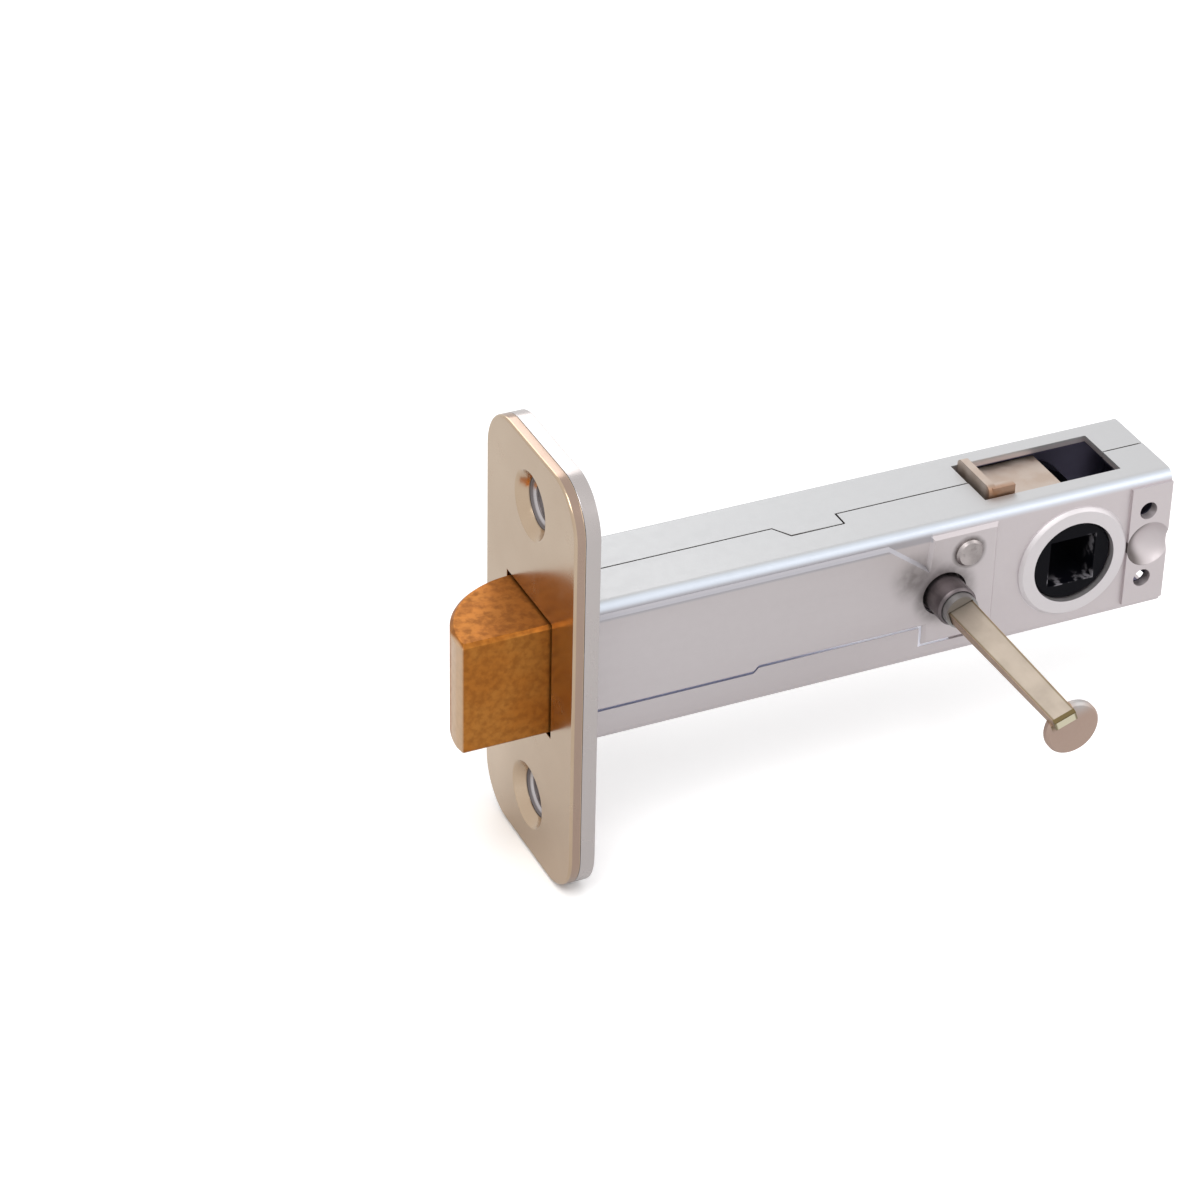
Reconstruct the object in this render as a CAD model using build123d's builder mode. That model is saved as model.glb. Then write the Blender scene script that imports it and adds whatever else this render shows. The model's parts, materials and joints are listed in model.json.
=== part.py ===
import os
from math import cos, radians, sin

from build123d import *

os.makedirs("parts", exist_ok=True)

# A tubular spring latch for a privacy lock set. Millimetres.
# +X runs into the door, +Z is up, the lock pin points to -Y. The sizes along X below count from
# the faceplate's front, as backsets do. The finished pieces are moved so that the origin lies
# on the faceplate's back, midway between its two screw holes.

# Faceplate, two layers
plate_width = 25.4
plate_height = 57.15
plate_corner = 6.35
front_thick = 1.4
back_thick = 1.9
screw_spacing = 41.3
screw_hole_r = 2.5
screw_head_r = 4.35
screw_angle = 82

# Bolt
bolt_side_gap = 0.1
bolt_height = 15.4
bolt_reach = 11.3
bolt_back = 13.0
bolt_edge = 0.45
bolt_nose_slope = 0.2
bolt_nose_width = 1.2
bolt_bevel_start = 0.4
bolt_opening_gap = 0.35
pocket_depth = 3.8
plate_edge = 0.2

# Case, two shells of folded sheet that meet along the middle of the top and the bottom
case_width = 14.6
case_height = 19.4
case_length = 80.0
sheet = 1.0
bend_r = 1.3
seam_gap = 0.2
tab_start = 31.9
tab_end = 40.3
tab_depth = 2.25
tab_slant = 1.4
stake_width = 4.0
stake_y = 3.5
stake_clear = 0.05
end_flange_width = 5.0
end_flange_height = 13.0
panel_rise = 0.5
rear_pad_rise = 0.4
panel_relief = 0.4
inner_relief = 0.4
flange_seat = 0.25
groove_width = 0.35
groove_depth = 0.35
band_top = 5.0
band_jog = 0.7
band_jog_x = 27.0
pad_left = 49.2
pad_right = 58.9
pad_bottom = 7.0
panel_slope = 40.0
crease_run = 5.4
crease_drop = 4.1
rear_pad_gap = 0.15
rear_hole_x = 80.1
rear_hole_z = 4.9
rear_hole_r = 1.2
rear_dish_x = 80.6
rear_dish_r = 3.05
rear_dish_depth = 1.5
rear_dish_bulge = 1.0

# Hub
backset = 69.85
spindle_square = 6.35
hub_wall = 0.5
hub_journal_step = 0.5
hub_flange_gap = 0.6
hub_flange_thick = 2.3
hub_hole_gap = 0.1
boss_width = 2.0
boss_rise = 0.6
boss_edge = 0.4
rim_edge = 0.3
lobe_tip_gap = 0.1
lobe_rest_angle = 45.0
lobe_width = 17.0
lobe_relief = 18.0
lobe_heel = 37.4
lobe_thick = 6.0
lobe_root = 0.4

# Retractor, a stirrup of folded strip
strip = 0.8
arm_top = 8.2
arm_width = 9.6
arm_end = 70.5
web_front = 37.3
web_thick = 1.0
web_bend_r = 0.8
hook_thick = 1.4
hook_width = 7.2
hook_gap = 0.3
hook_clear = 0.05
lip_front = 59.3
lip_thick = 1.0
lip_width = 8.0
lip_proud = 1.3
lip_corner = 0.9
ear_length = 2.6
ear_thick = 1.1
ear_drop = 0.2
window_front = 58.6
window_back = 77.6
window_width = 8.6

# Bolt tail
tail_thick = 1.2
tail_height = 4.0
tail_y = 2.8
head_height = 7.2
head_length = 2.5
head_corner = 0.6
tail_gap = 0.15
tail_seat = 8.0
tail_pin_r = 1.2
tail_pin_x = 7.0
tail_pin_edge = 0.2
tail_pin_cover = 2.0

# Springs
bolt_spring_r = 4.0
bolt_spring_wire = 0.9
bolt_spring_y = 1.2
bolt_spring_turns = 7
return_spring_top_gap = 0.7
return_spring_wire = 0.6
return_spring_y = -2.2
return_spring_floor = 0.2
return_spring_turns = 8
anchor_front = 58.0
anchor_thick = 1.0
anchor_top = -3.9
anchor_arm_gap = 0.2
anchor_corner = 0.8
spring_gap = 0.05
wire_sides = 5
turn_chords = 12

# Lock pin
pin_x = 51.8
sleeve_r = 2.64
sleeve_end = 11.2
sleeve_edge = 0.3
sleeve_flange_r = 3.7
sleeve_flange_thick = 0.8
sleeve_hole_gap = 0.35
sleeve_fit = 0.06
plunger_r = 2.2
plunger_outer = 12.3
plunger_inner = 1.7
plunger_head_r = 2.5
plunger_head_thick = 2.2
plunger_edge = 0.4
detent_thick = 0.5
detent_outer_r = 3.0
detent_gap = 0.15
detent_slot = 1.2
pin_reach = 37.0
pin_bar_width = 3.4
pin_bar_thick = 1.9
pin_bar_taper = 0.5
pin_bar_edge = 0.3
pin_turn = 20.0
pin_proud = 1.1
pin_pad_r = 3.5
pin_pad_thick = 1.2
pin_pad_drop = 2.9
pin_pad_side = 0.9
pin_pad_edge = 0.3
pin_grip = 3.6
pin_fit = 0.05
release_hole_r = 1.6

# Rivet above the pin
rivet_x = 54.8
rivet_gap = 1.0
rivet_r = 1.2
rivet_head_r = 1.83
rivet_head_rise = 0.5
rivet_head_edge = 0.3

# Places that follow from the sizes above
plate_back = front_thick + back_thick
case_back = plate_back + case_length
half_width = case_width / 2
half_height = case_height / 2
inner_y = half_width - sheet
inner_z = half_height - sheet
arm_inner = arm_top - strip
hub_barrel_r = spindle_square / 2**0.5 + hub_wall
hub_journal_r = hub_barrel_r + hub_journal_step
hub_flange_r = arm_inner - hub_flange_gap
hub_hole_r = hub_journal_r + hub_hole_gap
rear_pad_left = backset + hub_hole_r + boss_width + rear_pad_gap
lobe_tip_r = arm_inner - lobe_tip_gap
rivet_z = arm_inner - rivet_gap - rivet_r
return_spring_r = (arm_inner - plunger_head_r - return_spring_top_gap - return_spring_floor) / 2
return_spring_z = -arm_inner + return_spring_floor + return_spring_r
web_back = web_front + web_thick
lobe_reach = lobe_tip_r * sin(radians(lobe_rest_angle))
hook_face = backset - lobe_reach + hook_gap
hook_bottom = hub_barrel_r + hub_hole_gap + hook_clear
lip_top = half_height + lip_proud
head_front = web_back + tail_gap
head_back = head_front + head_length
pocket_floor = bolt_back - pocket_depth
bolt_width = 2 * (inner_y - bolt_side_gap)
near_y = -bolt_width / 2
far_y = bolt_width / 2
tail_pin_length = bolt_width - tail_pin_cover
dish_ball_r = (rear_dish_r**2 + rear_dish_depth**2) / (2 * rear_dish_depth)
dish_ball_y = half_width + rear_pad_rise - rear_dish_depth + dish_ball_r
near_face = Plane.XZ.offset(half_width)
inward = Plane(origin=(0, -inner_y, 0), x_dir=(1, 0, 0), z_dir=(0, 1, 0))
hub_axis = Plane.XZ.shift_origin((backset, 0, 0))
pin_axis = Plane.XZ.shift_origin((pin_x, 0, 0))
bar_axis = Plane((pin_x, 0, 0), x_dir=(cos(radians(pin_turn)), 0, sin(radians(pin_turn))), z_dir=(0, -1, 0))


def polar(radius, angle, side):
    """A point at a radius, the angle counted from straight up or down towards the bolt."""
    turn = radians(angle)
    return (-radius * sin(turn), side * radius * cos(turn))


def plate_layer(front, thick):
    """One faceplate layer: rounded outline with the bolt's opening, its front face at X = front."""
    with BuildPart() as layer:
        with BuildSketch(Plane.YZ.offset(front)):
            RectangleRounded(plate_width, plate_height, plate_corner)
            Rectangle(bolt_width + 2 * bolt_opening_gap, bolt_height + 2 * bolt_opening_gap,
                      mode=Mode.SUBTRACT)
        extrude(amount=thick)
        with Locations(Plane((0, 0, 0), x_dir=(0, 1, 0), z_dir=(-1, 0, 0))):
            with GridLocations(0, screw_spacing, 1, 2):
                CounterSinkHole(screw_hole_r, screw_head_r, counter_sink_angle=screw_angle)
    return layer.part


def seam_tab(z_low, play):
    """The tongue of one shell that locks into the other across the seam, grown by the play."""
    with BuildPart() as tongue:
        with BuildSketch(Plane.XY.offset(z_low)):
            with BuildLine():
                Polyline(
                    (tab_start, sheet), (tab_start, 0), (tab_start + tab_slant, -tab_depth),
                    (tab_end, -tab_depth), (tab_end, sheet), close=True,
                )
            make_face()
            if play:
                offset(amount=play)
        extrude(amount=sheet)
    return tongue.part


def shell_half(side):
    """A folded channel: side wall and half of the top and bottom. side is -1 for near, 1 for far."""
    with BuildPart() as half:
        with BuildSketch(Plane.YZ.offset(plate_back)):
            RectangleRounded(case_width, case_height, bend_r)
            RectangleRounded(inner_y * 2, inner_z * 2, bend_r - sheet, mode=Mode.SUBTRACT)
            with Locations((-side * (half_width - seam_gap / 2), 0)):
                Rectangle(case_width, case_height, mode=Mode.SUBTRACT)
        extrude(amount=case_length)
        with BuildSketch(Plane.YZ.offset(front_thick)):
            with Locations((side * stake_y, 0)):
                with GridLocations(0, case_height - sheet, 1, 2):
                    Rectangle(stake_width, sheet)
        extrude(amount=back_thick)
        with BuildSketch(Plane.YZ.offset(case_back - sheet)):
            with Locations((side * (inner_y - end_flange_width / 2 + sheet / 2), 0)):
                Rectangle(end_flange_width + sheet, end_flange_height)
        extrude(amount=sheet)
        with BuildSketch(Plane.XY.offset(inner_z)):
            with Locations(((window_front + window_back) / 2, 0)):
                Rectangle(window_back - window_front, window_width)
        extrude(amount=sheet, mode=Mode.SUBTRACT)
    return half.part


# Faceplate layers
with BuildPart() as front_plate:
    add(plate_layer(0, front_thick))
    chamfer(front_plate.faces().sort_by(Axis.X)[0].outer_wire().edges(), plate_edge)

with BuildPart() as backing_plate:
    add(plate_layer(front_thick, back_thick))
    with BuildSketch(Plane.YZ.offset(front_thick)):
        with GridLocations(stake_y * 2, case_height - sheet, 2, 2):
            Rectangle(stake_width + 2 * stake_clear, sheet + 2 * stake_clear)
    extrude(amount=back_thick, mode=Mode.SUBTRACT)

# Near shell: raised panels, hub boss, rear dish and the holes for the lock pin
with BuildPart() as near_shell:
    add(shell_half(-1))
    with BuildSketch(near_face):
        with BuildLine():
            panel_top = half_height - bend_r
            Polyline(
                (plate_back, panel_top), (plate_back, -band_top), (band_jog_x - band_jog, -band_top),
                (band_jog_x, -band_top + band_jog), (pad_left, -band_top + band_jog),
                (pad_left, -pad_bottom), (pad_right, -pad_bottom), (pad_right, panel_top),
                (pad_left + panel_relief, panel_top), (pad_left, panel_top - crease_drop),
                (pad_left - crease_run, panel_top), close=True,
            )
        make_face()
    extrude(amount=panel_rise, taper=panel_slope)
    with BuildSketch(near_face):
        with BuildLine():
            groove_z = -band_top - groove_width / 2
            Polyline(
                (plate_back + sheet, groove_z), (band_jog_x - band_jog, groove_z),
                (band_jog_x, groove_z + band_jog), (pad_left - groove_width / 2, groove_z + band_jog),
                (pad_left - groove_width / 2, -pad_bottom - groove_width / 2),
                (pad_right, -pad_bottom - groove_width / 2),
            )
        trace(line_width=groove_width)
    extrude(amount=-groove_depth, mode=Mode.SUBTRACT)
    with BuildSketch(near_face):
        with Locations(((rear_pad_left + case_back) / 2, 0)):
            Rectangle(case_back - rear_pad_left, 2 * (half_height - bend_r))
    extrude(amount=rear_pad_rise)
    with BuildSketch(Plane.XZ.offset(inner_y)):
        with Locations(((plate_back + pad_left) / 2, 0)):
            Rectangle(pad_left - plate_back - 2 * sheet, 2 * (band_top - band_jog - sheet))
    extrude(amount=inner_relief, mode=Mode.SUBTRACT)
    with BuildSketch(hub_axis.offset(half_width)):
        Circle(hub_hole_r + boss_width)
    extrude(amount=boss_rise)
    chamfer(near_shell.edges().filter_by(GeomType.CIRCLE).sort_by(Axis.Y)[0], boss_edge)
    with BuildSketch(hub_axis.offset(inner_y)):
        Circle(hub_hole_r)
    extrude(amount=sheet + boss_rise, mode=Mode.SUBTRACT)
    with BuildSketch(hub_axis.offset(inner_y)):
        Circle(hub_flange_r + hub_hole_gap * 2)
    extrude(amount=flange_seat, mode=Mode.SUBTRACT)
    with BuildSketch(inward):
        with Locations((rear_dish_x, 0)):
            Circle(rear_dish_r)
    extrude(amount=rear_dish_bulge, taper=panel_slope)
    with Locations((rear_dish_x, -dish_ball_y, 0)):
        Sphere(dish_ball_r, mode=Mode.SUBTRACT)
    with BuildSketch(Plane.XZ.offset(inner_y - sheet)):
        with Locations((rear_hole_x, rear_hole_z), (rear_hole_x, -rear_hole_z)):
            Circle(rear_hole_r)
        with Locations((pin_x, 0)):
            Circle(sleeve_r + sleeve_hole_gap)
        with Locations((rivet_x, rivet_z)):
            Circle(rivet_r + pin_fit)
    extrude(amount=sheet * 3, mode=Mode.SUBTRACT)
    add(seam_tab(inner_z, seam_gap), mode=Mode.SUBTRACT)
    add(seam_tab(-half_height, seam_gap), mode=Mode.SUBTRACT)

# Far shell: the seam's tongues, hub boss and the release hole behind the lock pin
with BuildPart() as far_shell:
    add(shell_half(1))
    add(seam_tab(inner_z, 0))
    add(seam_tab(-half_height, 0))
    with BuildSketch(hub_axis.offset(-half_width)):
        Circle(hub_hole_r + boss_width)
    extrude(amount=-boss_rise)
    chamfer(far_shell.edges().filter_by(GeomType.CIRCLE).sort_by(Axis.Y)[-1], boss_edge)
    with BuildSketch(hub_axis.offset(-inner_y)):
        Circle(hub_hole_r)
    extrude(amount=-(sheet + boss_rise), mode=Mode.SUBTRACT)
    with BuildSketch(Plane.XZ.offset(-inner_y)):
        with Locations((pin_x, 0)):
            Circle(release_hole_r)
        with Locations((rivet_x, rivet_z)):
            Circle(rivet_r + pin_fit)
    extrude(amount=-sheet * 2, mode=Mode.SUBTRACT)

# Bolt: flat on the near side, its bevel a quarter round that sweeps from the far side to the nose
with BuildPart() as latch_bolt:
    with BuildSketch(Plane.XY.offset(-bolt_height / 2)):
        with BuildLine():
            nose_y = near_y + bolt_nose_width
            side_line = Line((bolt_back, near_y), (-bolt_reach + bolt_nose_slope, near_y))
            Line(side_line @ 1, (-bolt_reach, nose_y))
            EllipticalCenterArc((bolt_bevel_start, nose_y), bolt_reach + bolt_bevel_start,
                                bolt_width - bolt_nose_width, 90, arc_size=90)
            Line((bolt_bevel_start, far_y), (bolt_back, far_y))
            Line((bolt_back, far_y), (bolt_back, near_y))
        make_face()
    extrude(amount=bolt_height)
    rim = latch_bolt.faces().sort_by(Axis.Z)[-1].edges() + latch_bolt.faces().sort_by(Axis.Z)[0].edges()
    chamfer(rim.filter_by(lambda e: e.center().X < bolt_back - bolt_edge), bolt_edge)
    with BuildSketch(Plane.YZ.offset(bolt_back)):
        with Locations((bolt_spring_y, 0)):
            Circle(bolt_spring_r + tail_gap)
    extrude(amount=-pocket_depth, mode=Mode.SUBTRACT)
    with BuildSketch(Plane.YZ.offset(pocket_floor)):
        with Locations((tail_y, 0)):
            Rectangle(tail_thick + 2 * pin_fit, tail_height + 2 * pin_fit)
    extrude(amount=-tail_seat, mode=Mode.SUBTRACT)
    with BuildSketch(Plane.XZ.offset(-far_y)):
        with Locations((tail_pin_x, 0)):
            Circle(tail_pin_r + pin_fit)
    extrude(amount=tail_pin_length, mode=Mode.SUBTRACT)

# Tail: flat bar pinned in the bolt, its T-head behind the retractor's web
with BuildPart() as bolt_tail:
    with BuildSketch(Plane.XZ.offset(-tail_y - tail_thick / 2)):
        tail_front = pocket_floor - tail_seat + tail_gap
        with Locations(((tail_front + head_front) / 2, 0)):
            Rectangle(head_front - tail_front, tail_height)
        with Locations(((head_front + head_back) / 2, 0)):
            RectangleRounded(head_length, head_height, head_corner)
        with Locations((tail_pin_x, 0)):
            Circle(tail_pin_r + pin_fit, mode=Mode.SUBTRACT)
    extrude(amount=tail_thick)

with BuildPart() as tail_pin:
    with BuildSketch(Plane.XZ.offset(-far_y + tail_gap)):
        with Locations((tail_pin_x, 0)):
            Circle(tail_pin_r)
    extrude(amount=tail_pin_length - 2 * tail_gap)
    chamfer(tail_pin.edges(), tail_pin_edge)


def coil(radius, wire, length, turns, origin):
    """A compression spring along +X from the origin, its wire drawn as short straight chords."""
    coil_r = radius - wire / 2
    steps = turns * turn_chords
    rise = (length - wire) / steps
    points = [
        (origin[0] + wire / 2 + rise * k,
         origin[1] + coil_r * cos(radians(360 * k / turn_chords)),
         origin[2] + coil_r * sin(radians(360 * k / turn_chords)))
        for k in range(steps + 1)
    ]
    with BuildPart() as spring:
        with BuildLine():
            path = Polyline(*points)
        with BuildSketch(Plane(path @ 0, z_dir=path % 0)):
            RegularPolygon(wire / 2, wire_sides)
        sweep(transition=Transition.RIGHT)
    return spring.part


with BuildPart() as bolt_spring:
    add(coil(bolt_spring_r, bolt_spring_wire, web_front - pocket_floor - 2 * spring_gap,
             bolt_spring_turns, (pocket_floor + spring_gap, bolt_spring_y, 0)))

with BuildPart() as return_spring:
    add(coil(return_spring_r, return_spring_wire, anchor_front - web_back - 2 * spring_gap,
             return_spring_turns, (web_back + spring_gap, return_spring_y, return_spring_z)))

# Spring anchor: a cross strip held between the shells' walls, above the retractor's lower arm
with BuildPart() as spring_anchor:
    anchor_bottom = -arm_inner + anchor_arm_gap
    with BuildSketch(Plane.YZ.offset(anchor_front)):
        with Locations((0, (anchor_top + anchor_bottom) / 2)):
            Rectangle(inner_y * 2, anchor_top - anchor_bottom)
    extrude(amount=anchor_thick)
    fillet(spring_anchor.edges().filter_by(Axis.X).group_by(Axis.Z)[-1], anchor_corner)

# Retractor: web, two arms, a hook under each arm and the lanced lip in the window with its folded ear
with BuildPart() as retractor:
    with BuildSketch(Plane.XZ.offset(-arm_width / 2)):
        with BuildLine():
            Polyline(
                (arm_end, arm_top), (web_front, arm_top), (web_front, -arm_top), (arm_end, -arm_top),
                (arm_end, -arm_inner), (web_back, -arm_inner),
                (web_back, arm_inner), (arm_end, arm_inner), close=True,
            )
        make_face()
    extrude(amount=arm_width)
    bends = retractor.edges().filter_by(Axis.Y).group_by(Axis.X)[0]
    fillet(bends, web_bend_r)
    hook_height = arm_inner - hook_bottom
    with BuildSketch(Plane.YZ.offset(hook_face)):
        with GridLocations(0, 2 * hook_bottom + hook_height, 1, 2):
            Rectangle(hook_width, hook_height)
    extrude(amount=hook_thick)
    with BuildSketch(Plane.YZ.offset(web_front)):
        notch_side = tail_y - tail_thick / 2 - tail_gap
        with Locations(((notch_side + arm_width / 2) / 2, 0)):
            Rectangle(arm_width / 2 - notch_side, tail_height + 2 * tail_gap)
    extrude(amount=web_thick, mode=Mode.SUBTRACT)
    lance_length = lip_top - arm_top
    with BuildSketch(Plane.XY.offset(arm_inner)):
        with Locations((lip_front - lance_length / 2, 0)):
            Rectangle(lance_length, lip_width)
    extrude(amount=strip, mode=Mode.SUBTRACT)
    with BuildSketch(Plane.YZ.offset(lip_front)) as lip:
        with Locations((0, (arm_inner + lip_top) / 2)):
            Rectangle(lip_width, lip_top - arm_inner)
        fillet(lip.vertices(), lip_corner)
    extrude(amount=lip_thick)
    with BuildSketch(Plane.XZ.offset(lip_width / 2)) as ear:
        with Locations((lip_front + lip_thick / 2, arm_top - strip / 2)):
            Rectangle(ear_length + lip_thick / 2, lip_top - ear_drop - arm_top + strip / 2,
                      align=(Align.MIN, Align.MIN))
        fillet(ear.vertices().group_by(Axis.X)[-1].sort_by(Axis.Y)[0], lip_corner)
    extrude(amount=-ear_thick)

# Hub: barrel with a square spindle hole, two flanges, two journals and two lobes
with BuildPart() as hub:
    with BuildSketch(hub_axis.offset(-half_width)):
        Circle(hub_journal_r)
    extrude(amount=case_width)
    with BuildSketch(hub_axis.offset(-inner_y + hub_hole_gap)):
        Circle(hub_flange_r)
        Circle(hub_barrel_r, mode=Mode.SUBTRACT)
    extrude(amount=2 * (inner_y - hub_hole_gap))
    barrel_half = inner_y - hub_hole_gap - hub_flange_thick
    with BuildSketch(hub_axis.offset(-barrel_half)):
        Circle(hub_flange_r * 2)
        Circle(hub_barrel_r, mode=Mode.SUBTRACT)
    extrude(amount=2 * barrel_half, mode=Mode.SUBTRACT)

    for side in (1, -1):
        with BuildSketch(hub_axis.offset(-lobe_thick / 2)):
            with BuildLine():
                Polyline(
                    polar(lobe_tip_r, lobe_rest_angle, side),
                    polar(lobe_tip_r, lobe_rest_angle + lobe_width, side),
                    polar(hub_barrel_r - lobe_root, lobe_rest_angle + lobe_heel, side),
                    polar(hub_barrel_r - lobe_root, lobe_rest_angle + lobe_relief, side),
                    close=True,
                )
            make_face()
        extrude(amount=lobe_thick)
    with BuildSketch(hub_axis.offset(-case_width)):
        Rectangle(spindle_square, spindle_square)
    extrude(amount=2 * case_width, mode=Mode.SUBTRACT)
    chamfer(hub.faces().sort_by(Axis.Y)[0].outer_wire().edges(), rim_edge)
    chamfer(hub.faces().sort_by(Axis.Y)[-1].outer_wire().edges(), rim_edge)

# Sleeve of the lock pin, flanged inside the near wall
with BuildPart() as pin_sleeve:
    with BuildSketch(pin_axis.offset(inner_y)):
        Circle(sleeve_r)
    extrude(amount=sleeve_end - inner_y)
    chamfer(pin_sleeve.edges().sort_by(Axis.Y)[0], sleeve_edge)
    with BuildSketch(pin_axis.offset(inner_y)):
        Circle(sleeve_flange_r)
    extrude(amount=-sleeve_flange_thick)
    with BuildSketch(pin_axis.offset(inner_y - sleeve_flange_thick)):
        Circle(plunger_r + sleeve_fit)
    extrude(amount=sleeve_end, mode=Mode.SUBTRACT)

# Detent ring: a split spring ring behind the sleeve's flange
with BuildPart() as detent_ring:
    ring_y = inner_y - sleeve_flange_thick
    with BuildSketch(pin_axis.offset(ring_y)):
        Circle(detent_outer_r)
        Circle(plunger_r + detent_gap, mode=Mode.SUBTRACT)
        Rectangle(detent_slot, detent_outer_r, align=(Align.CENTER, Align.MAX), mode=Mode.SUBTRACT)
    extrude(amount=-detent_thick)

# Plunger: round, grooved for the detent, with a head inside the case and a slot for the pin's bar
with BuildPart() as lock_plunger:
    with BuildSketch(pin_axis.offset(plunger_inner)):
        Circle(plunger_r)
    extrude(amount=plunger_outer - plunger_inner)
    with BuildSketch(pin_axis.offset(plunger_inner)):
        Circle(plunger_head_r)
    extrude(amount=plunger_head_thick)
    chamfer(lock_plunger.edges().filter_by(GeomType.CIRCLE).sort_by(Axis.Y)[-1], plunger_edge)
    with BuildSketch(bar_axis.offset(plunger_outer)):
        Rectangle(pin_bar_width + 2 * pin_fit, pin_bar_thick + 2 * pin_fit)
    extrude(amount=-pin_grip, mode=Mode.SUBTRACT)

# Privacy pin: a flat bar that carries a round thumb pad under its end and stands a little proud of it
with BuildPart() as privacy_pin:
    bar_start = plunger_outer - pin_grip + pin_fit
    with BuildSketch(bar_axis.offset(bar_start)):
        Rectangle(pin_bar_width, pin_bar_thick)
    extrude(amount=pin_reach - bar_start, taper=pin_bar_taper)
    end_edges = privacy_pin.faces().sort_by(Axis.Y)[0].edges()
    chamfer(end_edges.sort_by(Axis.Z)[-1], pin_bar_edge)
    with BuildSketch(bar_axis.offset(pin_reach - pin_proud)):
        with Locations((pin_pad_side, -pin_pad_drop)):
            Circle(pin_pad_r)
    extrude(amount=-pin_pad_thick)
    pad_rim = privacy_pin.edges().filter_by(GeomType.CIRCLE)
    chamfer(pad_rim, pin_pad_edge)

# Rivet that holds the shells together above the pin
with BuildPart() as case_rivet:
    rivet_axis = Plane.XZ.shift_origin((rivet_x, 0, rivet_z))
    near_seat = half_width + panel_rise
    with BuildSketch(rivet_axis.offset(-half_width)):
        Circle(rivet_r)
    extrude(amount=near_seat + half_width)
    with BuildSketch(rivet_axis.offset(near_seat)):
        Circle(rivet_head_r)
    extrude(amount=rivet_head_rise)
    chamfer(case_rivet.edges().sort_by(Axis.Y)[0], rivet_head_edge)
    with BuildSketch(rivet_axis.offset(-half_width)):
        Circle(rivet_head_r)
    extrude(amount=-rivet_head_rise)
    chamfer(case_rivet.edges().sort_by(Axis.Y)[-1], rivet_head_edge)

pieces = {
    "front_plate": front_plate,
    "backing_plate": backing_plate,
    "near_shell": near_shell,
    "far_shell": far_shell,
    "latch_bolt": latch_bolt,
    "bolt_tail": bolt_tail,
    "tail_pin": tail_pin,
    "bolt_spring": bolt_spring,
    "return_spring": return_spring,
    "spring_anchor": spring_anchor,
    "retractor": retractor,
    "hub": hub,
    "pin_sleeve": pin_sleeve,
    "detent_ring": detent_ring,
    "lock_plunger": lock_plunger,
    "privacy_pin": privacy_pin,
    "case_rivet": case_rivet,
}
for name, piece in pieces.items():
    solid = piece.part.moved(Location((-plate_back, 0, 0)))
    solid.label = name
    export_step(solid, f"parts/{name}.step")
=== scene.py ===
"""Looks of a tubular privacy spring latch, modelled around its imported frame."""
import json
import logging
from dataclasses import dataclass, field
from enum import Enum
from math import cos, radians, sin, tau
from typing import Optional, Union

import bmesh
import bpy
from mathutils import Matrix, Vector

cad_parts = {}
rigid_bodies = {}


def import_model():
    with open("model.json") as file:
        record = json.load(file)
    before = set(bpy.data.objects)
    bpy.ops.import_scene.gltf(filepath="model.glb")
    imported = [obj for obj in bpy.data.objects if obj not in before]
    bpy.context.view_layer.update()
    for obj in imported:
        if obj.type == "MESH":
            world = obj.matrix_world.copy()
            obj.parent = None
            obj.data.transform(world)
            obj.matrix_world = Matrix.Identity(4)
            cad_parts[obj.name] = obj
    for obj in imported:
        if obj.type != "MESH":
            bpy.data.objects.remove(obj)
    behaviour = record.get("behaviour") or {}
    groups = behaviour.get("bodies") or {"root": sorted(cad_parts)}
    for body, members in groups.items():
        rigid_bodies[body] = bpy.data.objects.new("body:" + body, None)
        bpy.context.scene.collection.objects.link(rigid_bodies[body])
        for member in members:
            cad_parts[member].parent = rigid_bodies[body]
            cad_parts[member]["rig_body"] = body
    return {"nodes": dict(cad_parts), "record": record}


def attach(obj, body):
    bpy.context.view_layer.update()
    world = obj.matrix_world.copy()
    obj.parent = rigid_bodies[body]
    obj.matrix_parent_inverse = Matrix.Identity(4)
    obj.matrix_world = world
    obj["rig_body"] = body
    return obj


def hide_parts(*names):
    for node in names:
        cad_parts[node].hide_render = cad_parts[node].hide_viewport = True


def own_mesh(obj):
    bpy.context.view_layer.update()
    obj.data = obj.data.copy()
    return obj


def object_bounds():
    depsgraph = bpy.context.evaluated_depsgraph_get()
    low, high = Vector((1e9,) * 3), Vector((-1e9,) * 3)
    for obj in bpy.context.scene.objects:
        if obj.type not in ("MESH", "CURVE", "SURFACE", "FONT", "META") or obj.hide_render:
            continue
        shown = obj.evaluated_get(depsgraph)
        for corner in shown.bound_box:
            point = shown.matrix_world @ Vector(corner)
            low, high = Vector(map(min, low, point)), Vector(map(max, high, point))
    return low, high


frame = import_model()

CAD_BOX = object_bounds()
MM = 0.001
STROKE = 10.4 * MM
LOG = logging.getLogger("latch")

Colour = tuple[float, float, float]
Point = tuple[float, float, float]
Spot = tuple[float, float]
Fade = tuple[float, float]
Number = Union[int, float]
Shelf = dict[str, bpy.types.Material]


class Pattern(Enum):
    """Which way the marks of working lie on a metal surface."""

    ROLLED_X = (0.12, 1.0, 1.0)
    BRUSHED_Z = (1.0, 1.0, 0.06)
    DRAWN_Y = (1.0, 0.08, 1.0)
    EVEN = (1.0, 1.0, 1.0)


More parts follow.
